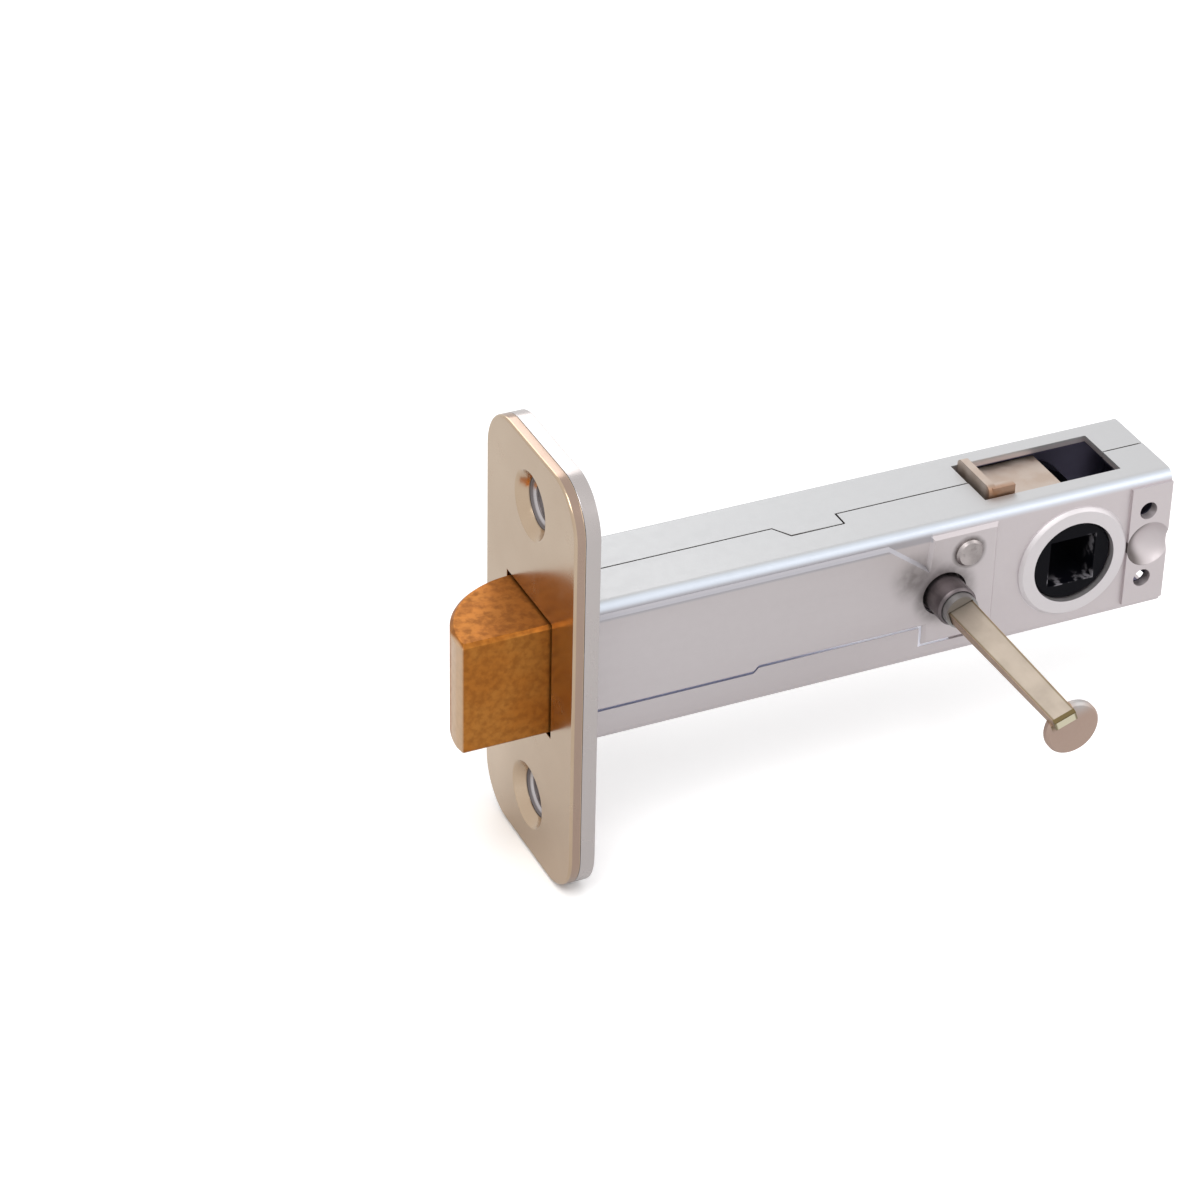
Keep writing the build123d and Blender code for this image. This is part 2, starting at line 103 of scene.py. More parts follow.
class Signal:
    """A node's output that Python arithmetic can be written on."""

    def __init__(self, graph: "Graph", socket: bpy.types.NodeSocket) -> None:
        """Wraps one output socket of a graph."""
        self.graph = graph
        self.socket = socket

    def output(self, key: Union[int, str]) -> "Signal":
        """Returns another output of the same node, by number or name."""
        return Signal(self.graph, self.socket.node.outputs[key])

    def _maths(self, operation: str, first: "Value", second: "Value") -> "Signal":
        """Adds one Math node and returns its result."""
        return self.graph.node("ShaderNodeMath", {"operation": operation}, {0: first, 1: second})

    def __add__(self, other: "Value") -> "Signal":
        """Returns self + other."""
        return self._maths("ADD", self, other)

    def __sub__(self, other: "Value") -> "Signal":
        """Returns self - other."""
        return self._maths("SUBTRACT", self, other)

    def __mul__(self, other: "Value") -> "Signal":
        """Returns self * other."""
        return self._maths("MULTIPLY", self, other)

    def __rsub__(self, other: "Value") -> "Signal":
        """Returns other - self."""
        return self._maths("SUBTRACT", other, self)

    __radd__ = __add__
    __rmul__ = __mul__

    def above(self, limit: "Value") -> "Signal":
        """Returns 1 where the signal is over the limit, else 0."""
        return self._maths("GREATER_THAN", self, limit)

    def below(self, limit: "Value") -> "Signal":
        """Returns 1 where the signal is under the limit, else 0."""
        return self._maths("LESS_THAN", self, limit)

    def highest(self, other: "Value") -> "Signal":
        """Returns the larger of two signals."""
        return self._maths("MAXIMUM", self, other)

    def size(self) -> "Signal":
        """Returns the signal without its sign."""
        return self._maths("ABSOLUTE", self, 0.0)

    def reach(self, other: "Signal") -> "Signal":
        """Returns the length of the hypotenuse over this signal and another."""
        return self._maths("POWER", self * self + other * other, 0.5)

    def fade(self, low: float, high: float) -> "Signal":
        """Rises smoothly from 0 at low to 1 at high; low may be the larger.

        Args:
            low: Where the result is 0.
            high: Where it is 1.

        Returns:
            A signal from 0 to 1.
        """
        settings = {"interpolation_type": "SMOOTHSTEP"}
        inputs = {"Value": self, "From Min": low, "From Max": high}
        return self.graph.node("ShaderNodeMapRange", settings, inputs)


Value = Union[Signal, Number, Colour]


class Graph:
    """A node tree and the ways to add to it."""

    def __init__(self, tree: bpy.types.NodeTree) -> None:
        """Empties the node tree of a material or a world and takes it over."""
        self.tree = tree
        self.tree.nodes.clear()

    def add(self, kind: str, settings: dict, inputs: dict) -> bpy.types.Node:
        """Adds a node of any type.

        Args:
            kind: The node's type name.
            settings: Its properties, set before the inputs.
            inputs: Values or signals by input name or number.

        Returns:
            The node.
        """
        made = self.tree.nodes.new(kind)
        for key, value in settings.items():
            setattr(made, key, value)
        for key, value in inputs.items():
            self.feed(made.inputs[key], value)
        return made

    def node(self, kind: str, settings: dict, inputs: dict, output: Union[int, str] = 0) -> Signal:
        """Adds a node as add does, and returns one of its outputs, by number or name."""
        return Signal(self, self.add(kind, settings, inputs).outputs[output])

    def close(self, kind: str, shader: Signal) -> None:
        """Links a shader to a new output node of the named kind."""
        self.add(kind, {}, {"Surface": shader})

    def feed(self, socket: bpy.types.NodeSocket, value: Value) -> None:
        """Links a signal to a socket, or sets its plain value.

        Args:
            socket: The input socket.
            value: A signal, a number or a colour.
        """
        if isinstance(value, Signal):
            self.tree.links.new(value.socket, socket)
        elif isinstance(value, tuple) and len(value) == 3 and socket.type == "RGBA":
            socket.default_value = (*value, 1.0)
        else:
            socket.default_value = value

    def mix(self, factor: Value, first: Value, second: Value) -> Signal:
        """Blends two colours."""
        inputs = {"Factor": factor, 6: first, 7: second}
        return self.node("ShaderNodeMix", {"data_type": "RGBA"}, inputs, output=2)

    def rays(self, *kinds: str) -> Signal:
        """Picks out rays of any of the named kinds.

        Args:
            *kinds: Kinds of ray, such as Camera or Glossy.

        Returns:
            A signal of 0 or 1.
        """
        path = self.node("ShaderNodeLightPath", {}, {})
        first, *others = (path.output(f"Is {kind} Ray") for kind in kinds)
        for other in others:
            first = first.highest(other)
        return first


class Surface(Graph):
    """A material's node tree, with the surface's own coordinates at hand."""

    def __init__(self, name: str) -> None:
        """Starts an empty material.

        Args:
            name: The material's name.
        """
        self.material = bpy.data.materials.new(name)
        self.material.use_nodes = True
        super().__init__(self.material.node_tree)
        self.place = self.node("ShaderNodeTexCoord", {}, {}, output="Object")
        axes = self.node("ShaderNodeSeparateXYZ", {}, {"Vector": self.place})
        self.x, self.y, self.z = (axes.output(i) for i in range(3))

    def near(self) -> Signal:
        """Returns how far a point lies to the near side, along -Y."""
        return 0.0 - self.y

    def noise(self, size: float, detail: float, pattern: Pattern = Pattern.EVEN) -> Signal:
        """Returns smooth noise from 0 to 1, in blotches of a size in metres, drawn out in a pattern."""
        drawn = self.node("ShaderNodeMapping", {}, {"Vector": self.place, "Scale": pattern.value})
        return self.node("ShaderNodeTexNoise", {}, {"Vector": drawn, "Scale": 1.0 / size, "Detail": detail})

    def facing(self, axis: int) -> Signal:
        """Returns how far the surface faces along one axis (0, 1 or 2), from 0 to 1, to either side."""
        normal = self.node("ShaderNodeNewGeometry", {}, {}, output="True Normal")
        return self.node("ShaderNodeSeparateXYZ", {}, {"Vector": normal}, output=axis).size()

    def around(self, spot: Spot) -> Signal:
        """Returns the distance from a line along Y, seen from the side, that stands at an X and a Z."""
        return (self.x - spot[0]).reach(self.z - spot[1])

    def bump(
        self, height: Signal, depth: float, strength: float = 1.0, under: Optional[Signal] = None
    ) -> Signal:
        """Turns a height into a normal.

        Args:
            height: The height, from 0 to 1.
            depth: The relief for a height of 1, in metres.
            strength: Share of the relief that is used.
            under: A normal that the relief lies on.

        Returns:
            The normal.
        """
        inputs = {"Height": height, "Distance": depth, "Strength": strength}
        if under is not None:
            inputs["Normal"] = under
        return self.node("ShaderNodeBump", {}, inputs)

    def rough(self, shares: tuple[float, ...], *signals: Signal) -> Signal:
        """Adds up a roughness.

        Args:
            shares: The roughness to begin with, then what each signal adds at its highest.
            *signals: The signals, in the same order.

        Returns:
            The roughness.
        """
        total, *weights = shares
        for weight, signal in zip(weights, signals, strict=True):
            total = signal * weight + total
        return total

    def finish(self, colour: Value, rough: Value, normal: Signal, **others: Value) -> bpy.types.Material:
        """Adds the surface shader and the output.

        Args:
            colour: The base colour.
            rough: The roughness.
            normal: The normal.
            **others: The metallic and specular values, where they aren't the shader's own.

        Returns:
            The finished material.
        """
        inputs = {"Base Color": colour, "Roughness": rough, "Normal": normal}
        inputs.update({key.replace("_", " "): value for key, value in others.items()})
        self.close("ShaderNodeOutputMaterial", self.node("ShaderNodeBsdfPrincipled", {}, inputs))
        return self.material


@dataclass(frozen=True)
class Patch:
    """Soft-edged noise: the size of its blotches in metres, its detail, and where it rises from 0 to 1."""

    size: float
    detail: float
    low: float = 0.30
    high: float = 0.70
    pattern: Pattern = Pattern.EVEN

    def on(self, surface: Surface) -> Signal:
        """Returns the patches on a surface."""
        return surface.noise(self.size, self.detail, self.pattern).fade(self.low, self.high)


@dataclass(frozen=True)
class Grain:
    """Fine marks of working: their size and depth in metres, their detail and direction."""

    size: float
    depth: float
    detail: float = 2.0
    pattern: Pattern = Pattern.EVEN

    def on(self, surface: Surface) -> Signal:
        """Returns the marks on a surface."""
        return surface.noise(self.size, self.detail, self.pattern)


@dataclass(frozen=True)
class Tint:
    """A colour, and the share of it that is laid over another."""

    colour: Colour
    share: float = 1.0

    def over(self, below: Value, where: Signal) -> Signal:
        """Returns a colour with the tint laid over it, as far as a signal from 0 to 1 says."""
        return where.graph.mix(where * self.share, below, self.colour)


def scaled(colour: Colour, share: float) -> Colour:
    """Returns a colour times a share."""
    return tuple(share * part for part in colour)


@dataclass(frozen=True)
class SheetMetal:
    """Plated or brushed metal: two near tones in soft clouds, drawn marks and small scuffs."""

    name: str
    light: Colour
    dark: Colour
    grain: Grain
    roughness: float
    cloud: float = 9 * MM
    cloud_detail: float = 4.0
    cloud_fade: Fade = (0.32, 0.68)
    scuff_size: float = 0.35
    scuff_detail: float = 6.0
    scuff_fade: Fade = (0.56, 0.72)
    scuff_share: float = 0.35
    scuff_dark: float = 0.55
    wave_size: float = 1.6
    wave_depth: float = 0.05 * MM
    wave_detail: float = 1.0
    wave_strength: float = 0.6
    rough_shares: tuple[float, ...] = (0.12, 0.10, 0.06)

    def material(self) -> bpy.types.Material:
        """Builds the material.

        Returns:
            The material.
        """
        surface = Surface(self.name)
        clouds = Patch(self.cloud, self.cloud_detail, *self.cloud_fade).on(surface)
        marks = self.grain.on(surface)
        scuff = Patch(self.cloud * self.scuff_size, self.scuff_detail, *self.scuff_fade, self.grain.pattern)
        scuffs = scuff.on(surface)
        tone = surface.mix(clouds, self.dark, self.light)
        wear_and_sheen = Tint(scaled(self.dark, self.scuff_dark), self.scuff_share).over(tone, scuffs)
        rough = surface.rough((self.roughness, *self.rough_shares), clouds, scuffs, marks)
        relief = surface.bump(marks, self.grain.depth)
        waves = surface.noise(self.cloud * self.wave_size, self.wave_detail)
        normal = surface.bump(waves, self.wave_depth, self.wave_strength, relief)
        return surface.finish(wear_and_sheen, rough, normal, Metallic=1.0)


@dataclass(frozen=True)
class ShadeSpot:
    """Painted shade round a spot: where it stands, how far it reaches, where it is full, and how strong it
    is.
    """

    spot: Spot
    far: float
    full: float
    strength: float
    broken: float = 0.2

    def on(self, surface: Surface, spots: Signal) -> Signal:
        """Returns the share of painted shade, broken up by small blotches."""
        return surface.around(self.spot).fade(self.far, self.full) * (self.strength + self.broken * spots)


@dataclass(frozen=True)
class CasePlating:
    """Zinc plating of the case: painted near-white on top, warmer on the side, a painted bluish highlight
    along the bend, a painted highlight on the raised ring round the hub hole, painted shade on the pressed
    slope, in the dish and round the pin, rivet and crease, painted reflections in the groove, dark seams and
    painted shade inside.
    """

    name: str
    light: Colour = (0.568, 0.532, 0.540)
    dark: Colour = (0.512, 0.471, 0.479)
    rear: Tint = Tint((0.660, 0.600, 0.612), 0.6)
    # painted highlight on the raised ring round the hub hole
    ring: Tint = Tint((0.730, 0.705, 0.720), 0.6)
    # painted tint on the top face, less warm, for the light that falls from above
    pale: Tint = Tint((0.512, 0.524, 0.531), 0.8)
    # painted bluish highlight along the near top bend
    bend_highlight: Tint = Tint((0.660, 0.728, 0.822), 0.75)
    shade: Tint = Tint((0.330, 0.335, 0.375))
    # painted shade round the pin, the rivet and the crease, and in the dish
    shade_tint: Tint = Tint((0.106, 0.090, 0.083))
    seam: Tint = Tint((0.106, 0.090, 0.083), 0.9)
    # painted shade on the shells' inner faces
    inside_shade: Tint = Tint((0.150, 0.140, 0.205))
    # painted reflections in the groove: a bluish line in front, a near-white glint further back
    line: Colour = (0.500, 0.510, 0.620)
    glint: Colour = (0.920, 0.920, 0.960)
    clouds: Patch = Patch(13 * MM, 3.0, pattern=Pattern.ROLLED_X)
    spots: Patch = Patch(1.3 * MM, 5.0, 0.35, 0.65)
    marks: Grain = Grain(0.35 * MM, 0.004 * MM, pattern=Pattern.ROLLED_X)
    metallic: float = 0.92
    rough_shares: tuple[float, ...] = (0.44, 0.07, 0.05, -0.12, 0.03)
    half_width: float = 7.3 * MM
    half_height: float = 9.7 * MM
    inner_depth: float = 0.85 * MM
    wall_depth: float = 0.95 * MM
    flush: float = 0.06 * MM
    ring_depth: float = 0.2 * MM
    panel_depth: float = 0.6 * MM
    shade_depth: float = 1.5 * MM
    case_end: float = 79.5 * MM
    seam_until: float = 55.0 * MM
    seam_again: float = 74.8 * MM
    seam_half: float = 2.7 * MM
    seam_upright: float = 0.92
    flat_side: float = 8.2 * MM
    groove_end: float = 50.0 * MM
    groove_glint: Fade = (22 * MM, 40 * MM)
    panel_end: float = 46.5 * MM
    panel_low: float = 1.0 * MM
    slope_tilt: float = 0.10
    slope_share: float = 0.65
    strip_low: Fade = (7.5 * MM, 7.9 * MM)
    strip_high: Fade = (9.0 * MM, 8.4 * MM)
    strip_share: float = 0.55
    rear_x: Fade = (25 * MM, 68 * MM)
    bend_z: Fade = (8.3 * MM, 9.1 * MM)
    bend_y: Fade = (6.2 * MM, 6.9 * MM)
    top_z: Fade = (9.2 * MM, 9.6 * MM)
    # painted shade round the pin, the rivet and the crease
    smudges_and_shade: tuple[ShadeSpot, ...] = (
        ShadeSpot((48.5 * MM, 0.0), 5.0 * MM, 2.6 * MM, 0.50),
        ShadeSpot((51.5 * MM, 5.2 * MM), 2.6 * MM, 1.9 * MM, 0.50),
        ShadeSpot((44.4 * MM, 3.2 * MM), 4.2 * MM, 0.4 * MM, 0.40),
    )
    dish: Spot = (77.3 * MM, 0.0)
    dish_r: float = 3.1 * MM
    dish_y: float = 5.0 * MM
    # painted shade on the left of the dish's rim
    dish_rim: Fade = (0.9 * MM, 2.6 * MM)
    dish_x: Fade = (78.2 * MM, 75.4 * MM)
    dish_share: float = 0.9
    hub: Spot = (66.55 * MM, 0.0)
    ring_r: float = 7.7 * MM

    def outside(self, surface: Surface, depth: float) -> Signal:
        """Returns 1 on the near side, down to a depth under its flat face."""
        return surface.near().above(self.half_width - depth)

    def shaded_inside(self, surface: Surface) -> Signal:
        """Returns 1 on the shells' inner faces, which are painted in shade.

        Args:
            surface: The surface that is dressed.

        Returns:
            A signal of 0 or 1.
        """
        in_side = surface.y.size().below(self.half_width - self.inner_depth)
        in_top = surface.z.size().below(self.half_height - self.inner_depth)
        dish = surface.around(self.dish).below(self.dish_r) * surface.near().above(self.dish_y)
        return in_side * in_top * (1.0 - dish) * surface.x.below(self.case_end)

    def seams(self, surface: Surface) -> Signal:
        """Returns 1 on the cut edges where the two shells meet.

        Args:
            surface: The surface that is dressed.

        Returns:
            A signal of 0 or 1.
        """
        upright = surface.facing(2).below(self.seam_upright)
        middle = surface.y.size().below(self.seam_half)
        wall = surface.z.size().above(self.half_height - self.wall_depth)
        along = surface.x.below(self.seam_until).highest(surface.x.above(self.seam_again))
        return upright * middle * wall * along * surface.x.below(self.case_end)

    def groove(self, surface: Surface) -> Signal:
        """Returns 1 in the groove along the panel's lower edge."""
        side = self.outside(surface, self.panel_depth) * surface.z.size().below(self.flat_side)
        return side * surface.near().below(self.half_width - self.flush) * surface.x.below(self.groove_end)

    def slope(self, surface: Surface) -> Signal:
        """Returns the share of shade on the panel's pressed slope and on the strip between it and the bend.

        Args:
            surface: The surface that is dressed.

        Returns:
            A signal from 0 to 1.
        """
        front = surface.x.below(self.panel_end) * self.outside(surface, self.panel_depth)
        tilted = surface.facing(2).above(self.slope_tilt)
        pressed = tilted * surface.z.above(self.panel_low) * surface.z.below(self.flat_side)
        strip = surface.z.fade(*self.strip_low) * surface.z.fade(*self.strip_high)
        return front * (pressed * self.slope_share).highest(strip * self.strip_share)

    def painted_shade(self, surface: Surface, spots: Signal) -> Signal:
        """Returns the share of painted shade round the pin, the rivet and the crease, and on the left of the
        dish's rim.

        Args:
            surface: The surface that is dressed.
            spots: Small blotches that break the painted shade up.

        Returns:
            A signal from 0 to 1.
        """
        ring = surface.around(self.dish)
        rim = ring.below(self.dish_r) * ring.fade(*self.dish_rim)
        share = rim * surface.x.fade(*self.dish_x) * self.dish_share
        for shade_spot in self.smudges_and_shade:
            share = share.highest(shade_spot.on(surface, spots))
        return self.outside(surface, self.shade_depth) * share

    def material(self) -> bpy.types.Material:
        """Builds the material.

        Returns:
            The material.
        """
        surface = Surface(self.name)
        clouds, spots, marks = (part.on(surface) for part in (self.clouds, self.spots, self.marks))
        bend = surface.z.fade(*self.bend_z) * surface.near().fade(*self.bend_y)
        boss_highlight = self.outside(surface, self.ring_depth) * surface.around(self.hub).below(self.ring_r)
        tone = surface.mix(clouds, self.dark, self.light)
        tone = self.rear.over(tone, surface.x.fade(*self.rear_x))
        # painted highlight on the raised ring round the hub hole
        tone = self.ring.over(tone, boss_highlight)
        # painted tint on the top face, less warm, for the light that falls from above
        tone = self.pale.over(tone, surface.z.fade(*self.top_z))
        # painted bluish highlight along the near top bend
        tone = self.bend_highlight.over(tone, bend)
        tone = self.shade.over(tone, self.slope(surface))
        # painted shade round the pin, the rivet and the crease, and in the dish
        tone = self.shade_tint.over(tone, self.painted_shade(surface, spots))
        # painted reflections in the groove: a bluish line in front, a near-white glint further back
        drawn = surface.mix(surface.x.fade(*self.groove_glint), self.line, self.glint)
        tone = surface.mix(self.groove(surface), tone, drawn)
        tone = self.seam.over(tone, self.seams(surface))
        # painted shade on the shells' inner faces
        tone = self.inside_shade.over(tone, self.shaded_inside(surface))
        rough = surface.rough(self.rough_shares, clouds, marks, bend, spots)
        return surface.finish(tone, rough, surface.bump(marks, self.marks.depth), Metallic=self.metallic)


@dataclass(frozen=True)
class PlateMetal:
    """A faceplate layer: brushed up and down, with painted shade in the screw holes and on the faces that
    don't face forward.
    """

    name: str
    light: Colour
    dark: Colour
    # painted shade in the screw holes and their countersinks
    hole: Tint
    # painted shade on the faces that don't face forward
    cut: Tint
    lower: Tint
    roughness: float
    rough_shares: tuple[float, ...] = (0.05, 0.06, 0.06, 0.2)
    cloud_share: float = 0.8
    clouds: Patch = Patch(10 * MM, 3.0)
    smudges_and_shade: Patch = Patch(3.5 * MM, 5.0, 0.52, 0.75)
    brushed: Grain = Grain(0.30 * MM, 0.0008 * MM, 3.0, Pattern.BRUSHED_Z)
    screw_height: float = 20.65 * MM
    hole_r: float = 2.62 * MM
    ledge_r: float = 4.6 * MM
    ledge_x: float = -1.8 * MM
    ledge_depth: Fade = (0.3 * MM, 0.1 * MM)
    lower_z: Fade = (-4 * MM, -20 * MM)
    lower_y: Fade = (2 * MM, 10 * MM)
    side_tilt: float = 0.2

    def material(self) -> bpy.types.Material:
        """Builds the material.

        Returns:
            The material.
        """
        surface = Surface(self.name)
        clouds, smudges_and_shade, brushed = (part.on(surface) for part in (self.clouds, self.smudges_and_shade, self.brushed))
        reach = surface.y.reach(surface.z.size() - self.screw_height)
        ledge = reach.below(self.ledge_r) * (surface.x - self.ledge_x).size().fade(*self.ledge_depth)
        bore_shade = reach.below(self.hole_r).highest(ledge)
        blend = clouds * self.cloud_share + brushed * (1.0 - self.cloud_share)
        tone = surface.mix(blend, self.dark, self.light)
        tone = self.lower.over(tone, surface.z.fade(*self.lower_z) * surface.y.fade(*self.lower_y))
        # painted shade on the faces that don't face forward
        tone = self.cut.over(tone, surface.facing(0).below(self.side_tilt))
        # painted shade in the screw holes and their countersinks
        tone = self.hole.over(tone, bore_shade)
        rough = surface.rough((self.roughness, *self.rough_shares), clouds, brushed, smudges_and_shade, bore_shade)
        return surface.finish(tone, rough, surface.bump(brushed, self.brushed.depth), Metallic=1.0)


@dataclass(frozen=True)
class BoltPatina:
    """Cast brass, tarnished in orange and brown mottles, with a painted highlight along the nose edge."""

    name: str
    bright: Colour = (0.480, 0.215, 0.048)
    orange: Colour = (0.415, 0.150, 0.026)
    brown: Colour = (0.193, 0.063, 0.013)
    # painted highlight along the nose edge
    painted_highlight: Tint = Tint((0.670, 0.520, 0.365), 0.70)
    rough_shares: tuple[float, ...] = (0.40, -0.10, 0.08, 0.05)
    bright_share: float = 0.60
    brown_share: float = 0.42
    top_bright: float = -0.35
    top_brown: float = 0.14
    fine_relief: float = 0.6
    top_z: Fade = (7.2 * MM, 7.6 * MM)
    mottle: Patch = Patch(4.0 * MM, 4.0)
    fine: Patch = Patch(0.9 * MM, 4.0, 0.35, 0.70)
    scratches: Grain = Grain(0.5 * MM, 0.010 * MM, pattern=Pattern.ROLLED_X)
    nose: float = -14.5 * MM
    nose_width: float = 0.35 * MM

    def material(self) -> bpy.types.Material:
        """Builds the material.

        Returns:
            The material.
        """
        surface = Surface(self.name)
        mottle, fine, scratches = (part.on(surface) for part in (self.mottle, self.fine, self.scratches))
        painted_highlight = surface.x.fade(self.nose + self.nose_width, self.nose)
        top = surface.z.fade(*self.top_z)
        tarnish = surface.mix(mottle * (self.bright_share + top * self.top_bright), self.orange, self.bright)
        spotted = surface.mix(fine * (self.brown_share + top * self.top_brown), tarnish, self.brown)
        # painted highlight along the nose edge
        colour = self.painted_highlight.over(spotted, painted_highlight)
        rough = surface.rough(self.rough_shares, painted_highlight, fine, mottle)
        normal = surface.bump(scratches + fine * self.fine_relief, self.scratches.depth)
        return surface.finish(colour, rough, normal, Metallic=1.0)


@dataclass(frozen=True)
class MouldedPlastic:
    """Glossy black moulding with a little flow texture, and a painted pale highlight on the bottom and rear
    inner faces of the spindle hole, in broken patches.
    """

    name: str
    base: Colour = (0.003, 0.003, 0.005)
    # colour of the painted highlight in the spindle hole
    wear_and_sheen: Colour = (0.22, 0.21, 0.23)
    flow: Grain = Grain(2.4 * MM, 0.05 * MM, 3.0)
    flow_strength: float = 0.5
    sheen_patches: Patch = Patch(1.5 * MM, 3.0, 0.46, 0.60)
    centre: float = 66.55 * MM
    half_square: float = 3.3 * MM
    mouth_y: Fade = (4.6 * MM, 7.0 * MM)
    lower_z: Fade = (-0.8 * MM, -2.6 * MM)
    rear_x: Fade = (68.15 * MM, 69.55 * MM)
    rough_shares: tuple[float, ...] = (0.30, 0.08, -0.08)
    specular: float = 0.06

    def material(self) -> bpy.types.Material:
        """Builds the material.

        Returns:
            The material.
        """
        surface = Surface(self.name)
        flow, sheen_patches = self.flow.on(surface), self.sheen_patches.on(surface)
        inside = (surface.x - self.centre).size().below(self.half_square)
        inside = inside * surface.z.size().below(self.half_square)
        mouth = surface.y.size().fade(*self.mouth_y)
        lower = surface.z.fade(*self.lower_z).highest(surface.x.fade(*self.rear_x))
        # painted highlight on the bottom and rear inner faces of the spindle hole, near its mouths
        painted_highlight = inside * mouth * sheen_patches * lower
        colour = surface.mix(painted_highlight, self.base, self.wear_and_sheen)
        rough = surface.rough(self.rough_shares, flow, painted_highlight)
        normal = surface.bump(flow, self.flow.depth, self.flow_strength)
        return surface.finish(colour, rough, normal, Specular_IOR_Level=self.specular)


@dataclass(frozen=True)
class PinBronze:
    """The lock pin: a beige bar with painted olive shade on its edges, painted tan shade on its sides and a
    painted highlight on its end, and a pinkish pad with a painted shadow under the bar and a painted pale
    highlight on its top part.
    """

    name: str
    cream: Colour = (0.373, 0.317, 0.261)
    # painted highlight on the bar's end face
    bright: Colour = (0.631, 0.584, 0.438)
    # painted shade: the bar's edge lines, the line along the top edge of its end, and the shadow under the
    # bar on the pad
    olive: Colour = (0.141, 0.105, 0.049)
    pink: Colour = (0.440, 0.328, 0.274)
    # painted shade on the bar's sides
    tan: Colour = (0.352, 0.239, 0.169)
    # painted pale highlight on the pad's top part
    highlight_grey: Colour = (0.493, 0.486, 0.486)
    drawn: Grain = Grain(0.4 * MM, 0.006 * MM, 3.0, Pattern.DRAWN_Y)
    blotches: Patch = Patch(2.6 * MM, 3.0)
    axis_x: float = 48.5 * MM
    turn: float = radians(20)
    taper: float = 0.00873
    bar_start: float = 9.0 * MM
    end_width: float = 1.62 * MM
    end_thick: float = 0.82 * MM
    arris: float = 0.28 * MM
    pad_from: float = 34.5 * MM
    end_from: float = 36.6 * MM
    edge_lines: Fade = (1.36 * MM, 1.58 * MM)
    edge_share: float = 0.8
    side_from: float = 1.64 * MM
    blotch_share: float = 0.25
    blotch_dark: float = 0.78
    # where the painted shadow under the bar and the painted highlight on the pad lie
    shadow_up: Fade = (-2.0 * MM, -0.9 * MM)
    shadow_share: float = 0.85
    highlight_up: Fade = (-2.2 * MM, 0.6 * MM)
    highlight_across: Fade = (0.4 * MM, 2.8 * MM)
    rough_shares: tuple[float, ...] = (0.36, 0.10, 0.06, 0.08)

    def bar(self, surface: Surface, across: Signal, up: Signal, blotches: Signal) -> Signal:
        """Colours the bar, with painted shade along its edges, on its sides and along the top edge of its
        end, and a painted highlight on its end face.

        Args:
            surface: The pin's surface.
            across: Distance from the bar's middle, across it.
            up: Distance from the bar's middle, through it.
            blotches: Soft blotches of a darker tone.

        Returns:
            The bar's colour.
        """
        end = surface.near().above(self.end_from)
        rim = across.size() + (surface.near() - self.bar_start) * self.taper
        flat = surface.mix(blotches * self.blotch_share, self.cream, scaled(self.cream, self.blotch_dark))
        # painted highlight on the bar's end face
        lit = surface.mix(end, flat, self.bright)
        # painted shade along the bar's edges
        lined = surface.mix(rim.fade(*self.edge_lines) * self.edge_share, lit, self.olive)
        # painted shade on the bar's sides
        sided = surface.mix(rim.above(self.side_from) * (1.0 - end), lined, self.tan)
        # painted dark line along the top edge of the bar's end
        return surface.mix(end * up.above(self.arris), sided, self.olive)

    def pad(self, surface: Surface, across: Signal, up: Signal) -> Signal:
        """Colours the pad, with a painted shadow under the bar and a painted pale highlight on its top part.

        Args:
            surface: The surface that is dressed.
            across: Distance from the bar's middle, across it.
            up: Distance from the bar's middle, through it.

        Returns:
            The pad's colour.
        """
        # painted shadow under the bar
        under = across.size().below(self.end_width) * up.fade(*self.shadow_up)
        # painted pale highlight on the pad's top part
        highlight_top = up.fade(*self.highlight_up) * across.fade(*self.highlight_across)
        return surface.mix(under * self.shadow_share, surface.mix(highlight_top, self.pink, self.highlight_grey), self.olive)

    def material(self) -> bpy.types.Material:
        """Builds the material.

        Returns:
            The material.
        """
        surface = Surface(self.name)
        drawn, blotches = self.drawn.on(surface), self.blotches.on(surface)
        beside = surface.x - self.axis_x
        across = beside * cos(self.turn) + surface.z * sin(self.turn)
        up = surface.z * cos(self.turn) - beside * sin(self.turn)
        in_bar = across.size().below(self.end_width) * up.size().below(self.end_thick)
        on_pad = surface.near().above(self.pad_from) * (1.0 - in_bar)
        colour = surface.mix(on_pad, self.bar(surface, across, up, blotches), self.pad(surface, across, up))
        rough = surface.rough(self.rough_shares, drawn, blotches, on_pad)
        return surface.finish(colour, rough, surface.bump(drawn, self.drawn.depth), Metallic=1.0)


